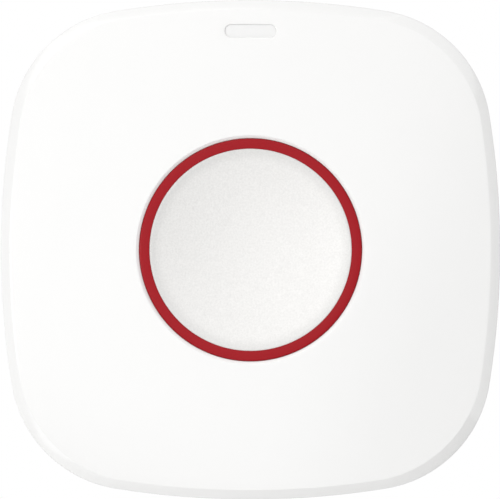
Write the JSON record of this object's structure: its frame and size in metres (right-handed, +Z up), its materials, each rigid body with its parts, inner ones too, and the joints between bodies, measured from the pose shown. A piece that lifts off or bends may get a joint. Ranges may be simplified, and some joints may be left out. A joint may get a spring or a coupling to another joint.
{
  "type": "wireless panic button",
  "caption": "Square wall-mounted call button: crowned white housing with round corners, dished round push button in a red ring, and a small light slot above it.",
  "frame": {"origin": "centre of the wall plate's back face, on the wall and on the button's axis", "axes": "+Y into the wall, so the front faces -Y; +Z up, towards the light slot; +X to the right as seen from the front"},
  "size_m": [0.065, 0.0158, 0.065],
  "materials": {
    "housing": "fine satin moulding, warm white",
    "plate": "matt warm white",
    "red_ring": "satin red",
    "cap": "fine matt grain, warm white",
    "clear_pipe": "milky clear plastic",
    "led_lens": "clear resin",
    "board_green": "green solder mask",
    "black_moulding": "matt black moulding compound",
    "bright_steel": "stamped sheet",
    "cell_can": "plated can",
    "grey_ceramic": "ceramic with tinned ends",
    "zinc_screw": "zinc plate"
  },
  "bodies": {
    "housing": {"front_cover": "housing", "rear_cover": "housing", "wall_plate": "plate", "light_pipe": "clear_pipe", "status_led": "led_lens", "circuit_board": "board_green", "switch_body": "black_moulding", "switch_frame": "bright_steel", "microcontroller": "black_moulding", "radio_chip": "black_moulding", "crystal": "bright_steel", "capacitors": "grey_ceramic", "resistors": "black_moulding", "antenna": "bright_steel", "coin_cell": "cell_can", "positive_contact": "bright_steel", "negative_contact": "bright_steel", "board_screws": "zinc_screw", "case_screw": "zinc_screw"},
    "button": {"button_ring": "red_ring", "button_cap": "cap"},
    "switch_plunger": {"switch_stem": "black_moulding"}
  },
  "joints": [
    {"name": "button_press", "type": "slide", "parent": "housing", "child": "button", "axis": [0, 1, 0], "range_m": [0, 0.0005], "stiffness_N_per_m": 3000},
    {"name": "switch_press", "type": "slide", "parent": "housing", "child": "switch_plunger", "axis": [0, 1, 0], "range_m": [0, 0.0005]}
  ],
  "couplings": [
    {"joint": "switch_press", "follows": "button_press", "ratio": 1}
  ]
}
